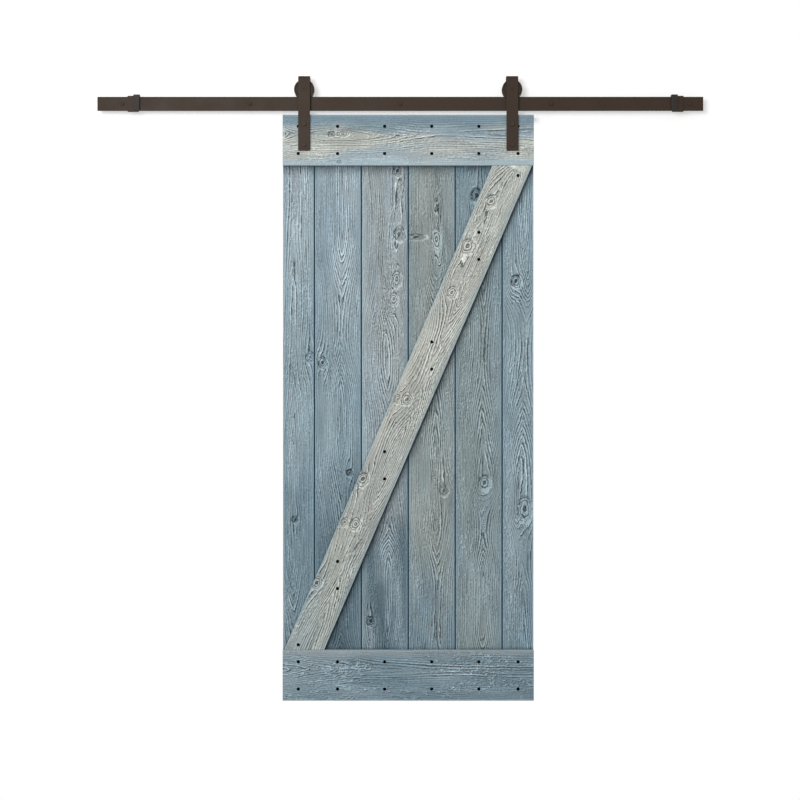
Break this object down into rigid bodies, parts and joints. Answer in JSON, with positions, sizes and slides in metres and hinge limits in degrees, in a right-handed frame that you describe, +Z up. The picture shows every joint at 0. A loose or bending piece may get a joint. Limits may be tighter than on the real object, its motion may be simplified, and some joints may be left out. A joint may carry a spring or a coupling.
{
  "type": "sliding barn door",
  "caption": "Ledged and braced plank door hung from two bent-strap rollers on a flat-bar track with stops.",
  "frame": {"origin": "centre of the middle spacer's wall face, at mid-height of the track bar", "axes": "+Z up, +X to the right along the track as seen from the front, +Y into the wall"},
  "size_m": [2.21, 0.1168, 2.2755],
  "materials": {
    "stained_pine": "matt stain",
    "bronze_paint": "satin powder coat",
    "wheel_paint": "satin powder coat",
    "black_screw": "black oxide",
    "zinc_steel": "zinc plate",
    "rubber": "matt"
  },
  "bodies": {
    "track": {"track_bar": "bronze_paint", "wall_spacer_1": "bronze_paint", "wall_spacer_2": "bronze_paint", "wall_spacer_3": "bronze_paint", "wall_spacer_4": "bronze_paint", "wall_spacer_5": "bronze_paint", "lag_bolt_1": "bronze_paint", "lag_bolt_2": "bronze_paint", "lag_bolt_3": "bronze_paint", "lag_bolt_4": "bronze_paint", "lag_bolt_5": "bronze_paint", "stop_clamp_left": "bronze_paint", "stop_bumper_left": "rubber", "stop_set_screw_left": "bronze_paint", "stop_clamp_right": "bronze_paint", "stop_bumper_right": "rubber", "stop_set_screw_right": "bronze_paint"},
    "door": {"plank_1": "stained_pine", "plank_2": "stained_pine", "plank_3": "stained_pine", "plank_4": "stained_pine", "plank_5": "stained_pine", "plank_6": "stained_pine", "top_rail": "stained_pine", "bottom_rail": "stained_pine", "diagonal_brace": "stained_pine", "top_rail_screws": "black_screw", "bottom_rail_screws": "black_screw", "brace_screws": "black_screw", "hanger_strap_left": "bronze_paint", "wheel_axle_left": "bronze_paint", "axle_nut_left": "zinc_steel", "axle_bushings_left": "zinc_steel", "hanger_bolts_left": "bronze_paint", "hanger_nuts_left": "zinc_steel", "hanger_strap_right": "bronze_paint", "wheel_axle_right": "bronze_paint", "axle_nut_right": "zinc_steel", "axle_bushings_right": "zinc_steel", "hanger_bolts_right": "bronze_paint", "hanger_nuts_right": "zinc_steel"},
    "left_wheel": {"wheel_left": "wheel_paint", "wheel_bearing_left": "zinc_steel"},
    "right_wheel": {"wheel_right": "wheel_paint", "wheel_bearing_right": "zinc_steel"}
  },
  "joints": [
    {"name": "door_slide", "type": "slide", "parent": "track", "child": "door", "axis": [1, 0, 0], "range_m": [-0.567, 0.547]},
    {"name": "left_wheel_spin", "type": "hinge", "parent": "door", "child": "left_wheel", "pos_m": [-0.3501, -0.038, 0.051], "axis": [0, 1, 0], "continuous": true},
    {"name": "right_wheel_spin", "type": "hinge", "parent": "door", "child": "right_wheel", "pos_m": [0.4077, -0.038, 0.051], "axis": [0, 1, 0], "continuous": true}
  ],
  "couplings": [
    {"joint": "left_wheel_spin", "follows": "door_slide", "rad_per_m": 39.526},
    {"joint": "right_wheel_spin", "follows": "door_slide", "rad_per_m": 39.526}
  ]
}
